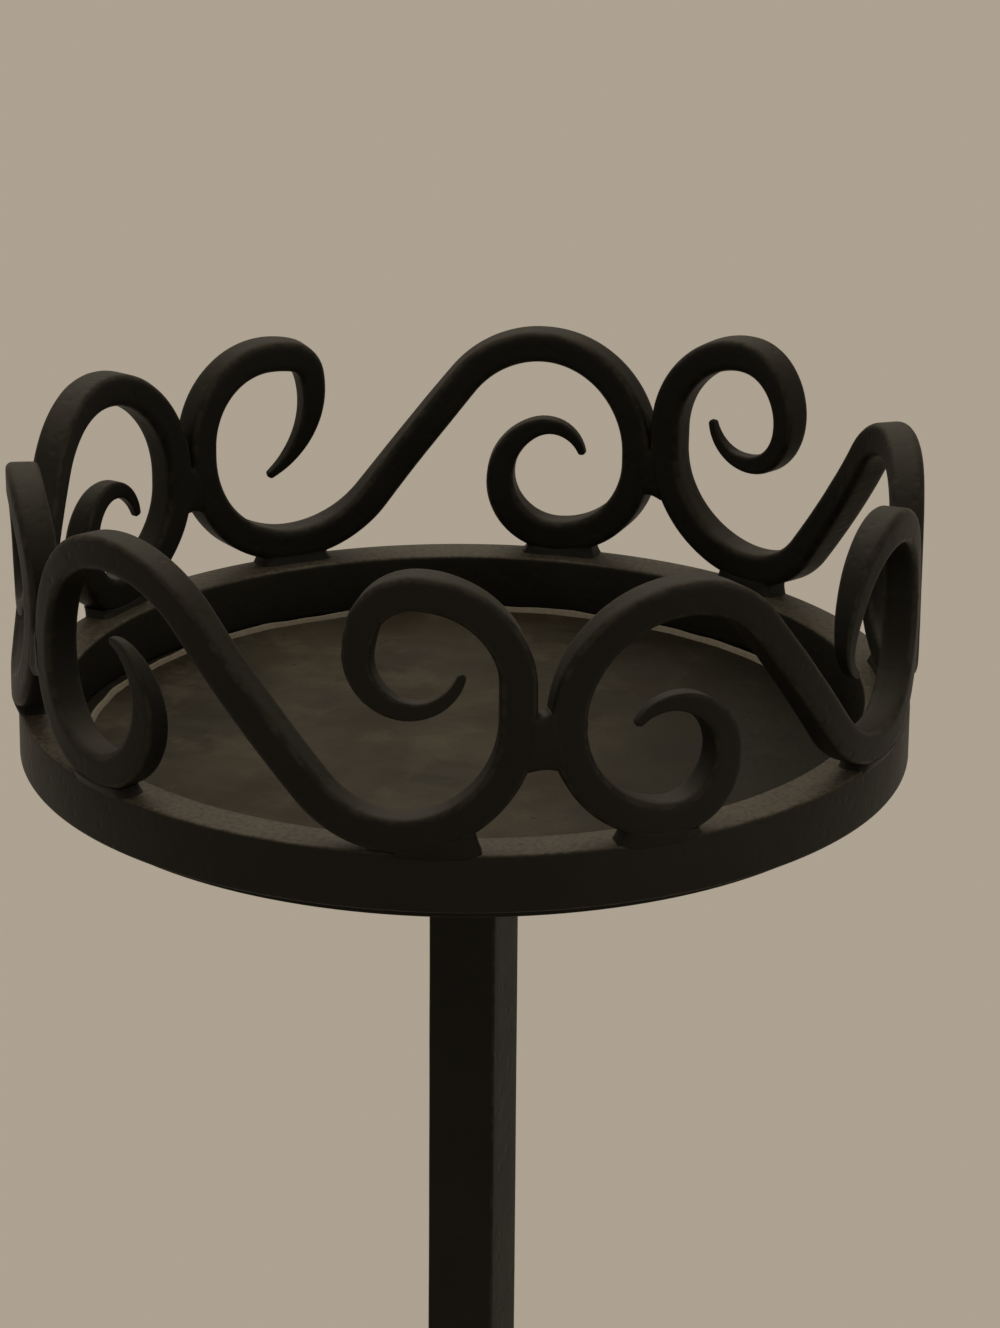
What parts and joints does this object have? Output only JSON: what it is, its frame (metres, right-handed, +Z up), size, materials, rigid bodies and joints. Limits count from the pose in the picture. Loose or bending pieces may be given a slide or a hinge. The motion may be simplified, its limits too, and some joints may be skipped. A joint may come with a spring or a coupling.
{
  "type": "candle stand",
  "caption": "Tall floor-standing candle holder of black iron: a ring of S-scrolls round a shallow lift-out drip pan, on a square post with scrolled legs.",
  "frame": {"origin": "on the floor, under the middle of the post", "axes": "+Z up along the post; +X along one leg and +Y along the next, square to the post's faces"},
  "size_m": [0.42, 0.42, 1.0373],
  "materials": {
    "black_iron": "satin black paint on forged bar",
    "pan_iron": "semi-gloss, dusty brown-grey",
    "zinc_steel": "zinc plated",
    "black_rubber": "matt"
  },
  "bodies": {
    "stand": {"post": "black_iron", "post_top_plug": "black_iron", "post_end_cap": "black_rubber", "tray_plate": "black_iron", "tray_screw": "zinc_steel", "hoop": "black_iron", "crown_scroll_1": "black_iron", "crown_scroll_2": "black_iron", "crown_scroll_3": "black_iron", "crown_scroll_4": "black_iron", "crown_scroll_5": "black_iron", "crown_side_welds": "black_iron", "crown_foot_welds": "black_iron", "leg_1": "black_iron", "leg_2": "black_iron", "leg_3": "black_iron", "leg_4": "black_iron", "foot_pad_1": "black_rubber", "foot_pad_2": "black_rubber", "foot_pad_3": "black_rubber", "foot_pad_4": "black_rubber"},
    "pan": {"drip_pan": "pan_iron"}
  },
  "joints": [
    {"name": "pan_lift", "type": "slide", "parent": "stand", "child": "pan", "axis": [0, 0, 1], "range_m": [0, 0.1]}
  ]
}
